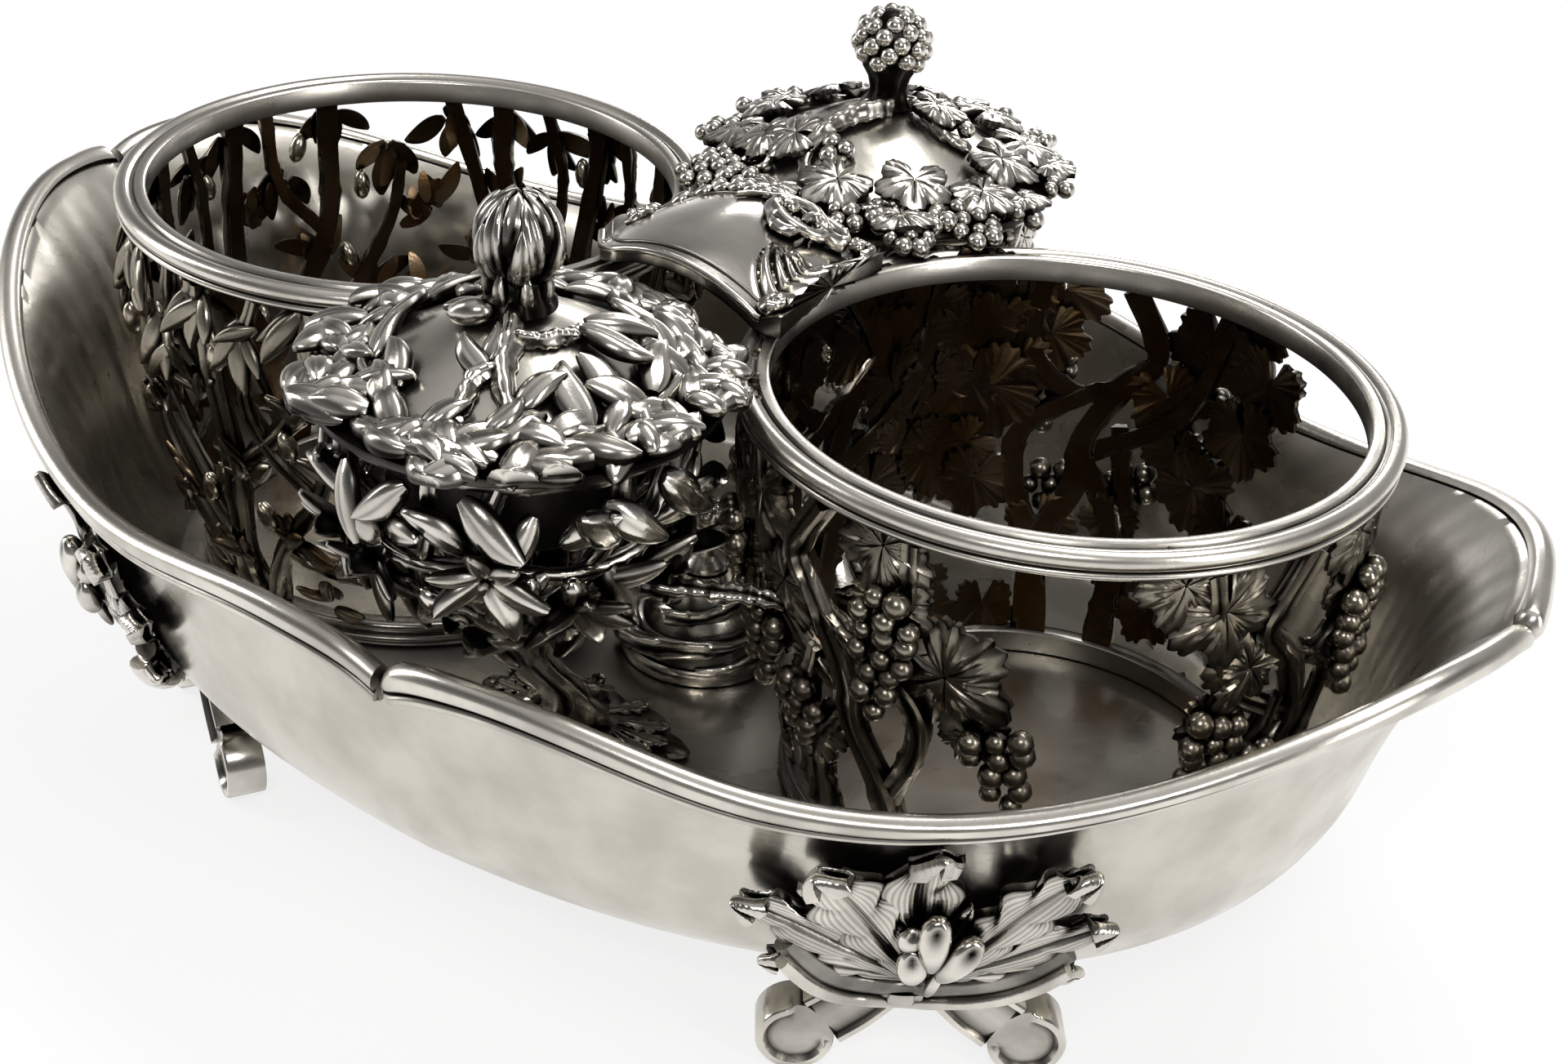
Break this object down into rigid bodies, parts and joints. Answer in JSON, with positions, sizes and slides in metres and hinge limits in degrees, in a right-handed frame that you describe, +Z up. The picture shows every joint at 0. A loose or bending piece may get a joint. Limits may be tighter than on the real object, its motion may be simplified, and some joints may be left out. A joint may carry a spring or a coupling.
{
  "type": "cruet stand",
  "caption": "Boat-shaped silver stand with openwork vine and olive frames for an oil and a vinegar bottle, and lift-out stoppers in holders of their own.",
  "frame": {"origin": "on the ground under the middle of the stand", "axes": "+X along the stand's length towards the vinegar frame, +Y across it towards the vinegar stopper, +Z up"},
  "size_m": [0.2958, 0.188, 0.1344],
  "materials": {
    "silver_polished": "polished silver, fine scratches",
    "silver_cast": "cast and chased silver with darkened recesses",
    "silver_oxidised": "cast openwork silver, tarnished on its inner faces"
  },
  "bodies": {
    "stand": {"tray": "silver_polished", "rim_rear_right": "silver_polished", "rim_rear_left": "silver_polished", "rim_front_left": "silver_polished", "rim_front_right": "silver_polished", "foot_rear_right": "silver_polished", "foot_rear_left": "silver_polished", "foot_front_left": "silver_polished", "foot_front_right": "silver_polished", "vinegar_ring": "silver_polished", "vinegar_base": "silver_polished", "nut_vinegar": "silver_polished", "oil_ring": "silver_polished", "oil_base": "silver_polished", "nut_oil": "silver_polished", "nut_centre": "silver_polished", "bridge": "silver_polished", "foot_leaf_rear_right": "silver_cast", "foot_leaf_rear_left": "silver_cast", "foot_leaf_front_left": "silver_cast", "foot_leaf_front_right": "silver_cast", "boss": "silver_cast", "boss_screw": "silver_cast", "oil_holder": "silver_cast", "oil_trunk": "silver_cast", "oil_link_left": "silver_cast", "oil_link_right": "silver_cast", "vinegar_holder": "silver_cast", "vinegar_trunk": "silver_cast", "vinegar_link_left": "silver_cast", "vinegar_link_right": "silver_cast", "vine_panel_1": "silver_oxidised", "vine_panel_2": "silver_oxidised", "vine_panel_3": "silver_oxidised", "vine_panel_4": "silver_oxidised", "olive_panel_1": "silver_oxidised", "olive_panel_2": "silver_oxidised", "olive_panel_3": "silver_oxidised", "olive_panel_4": "silver_oxidised", "oil_ground": "silver_oxidised", "vinegar_ground": "silver_oxidised"},
    "oil_stopper": {"oil_lid": "silver_polished", "oil_lid_collar": "silver_polished", "oil_lid_foliage": "silver_cast", "oil_lid_finial": "silver_cast"},
    "vinegar_stopper": {"vinegar_lid": "silver_polished", "vinegar_lid_collar": "silver_polished", "vinegar_lid_foliage": "silver_cast", "vinegar_lid_finial": "silver_cast"}
  },
  "joints": [
    {"name": "oil_stopper_lift", "type": "slide", "parent": "stand", "child": "oil_stopper", "axis": [0, 0, 1], "range_m": [0, 0.03]},
    {"name": "vinegar_stopper_lift", "type": "slide", "parent": "stand", "child": "vinegar_stopper", "axis": [0, 0, 1], "range_m": [0, 0.03]}
  ]
}
